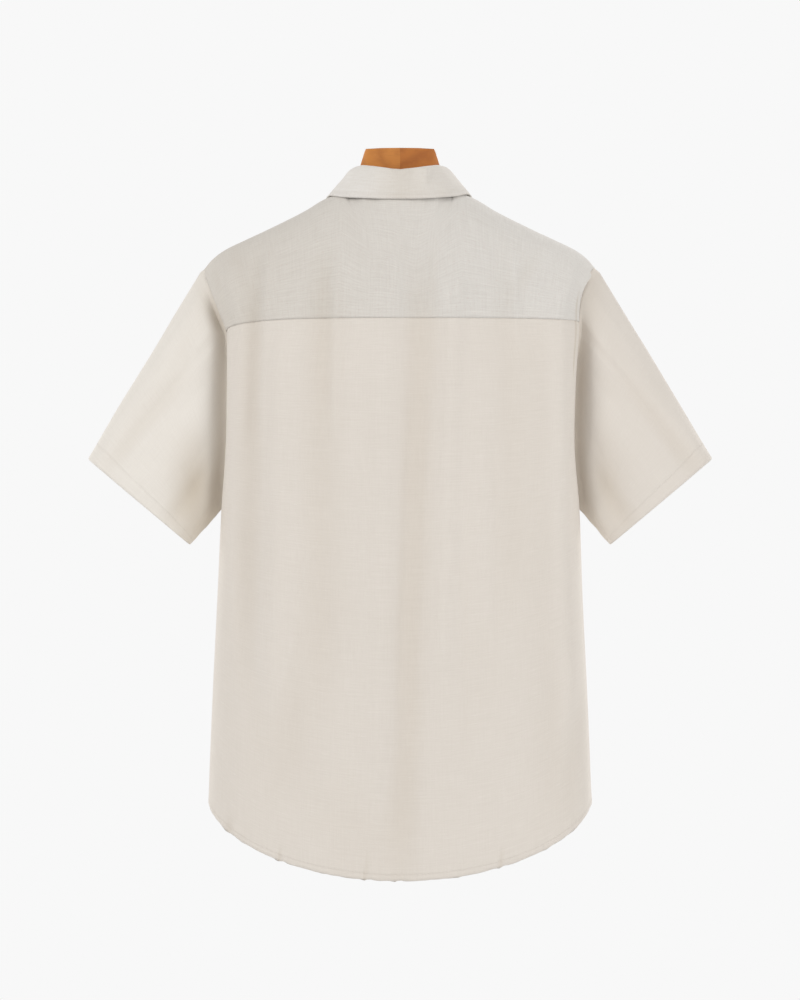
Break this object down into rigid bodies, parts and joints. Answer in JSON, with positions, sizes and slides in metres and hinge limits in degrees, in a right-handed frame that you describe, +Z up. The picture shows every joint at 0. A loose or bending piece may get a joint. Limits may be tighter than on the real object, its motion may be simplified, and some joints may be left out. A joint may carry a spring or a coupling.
{
  "type": "polo shirt on a wooden hanger",
  "caption": "Short-sleeved woven polo shirt with fold-over collar, back yoke, front placket and curved tail hem, hanging open-necked on a flat wooden hanger.",
  "frame": {"origin": "middle of the top of the hanger's neck block, where the hanger is held up", "axes": "+Z up, +Y towards the wearer's front, +X towards the wearer's right"},
  "size_m": [0.678, 0.1267, 0.792],
  "materials": {
    "cloth": "matt woven linen",
    "sleeve_cloth": "matt woven linen",
    "collar_cloth": "matt woven linen",
    "button": "satin",
    "wood": "varnished"
  },
  "bodies": {
    "root": {"back_yoke": "cloth", "back_panel": "cloth", "front_panel": "cloth", "sleeve_left": "sleeve_cloth", "sleeve_right": "sleeve_cloth", "collar_stand": "collar_cloth", "collar_leaf": "collar_cloth", "placket_upper": "cloth", "placket_under": "cloth", "button_1": "button", "button_2": "button", "button_3": "button", "hanger_half_left": "wood", "hanger_half_right": "wood"}
  },
  "joints": []
}
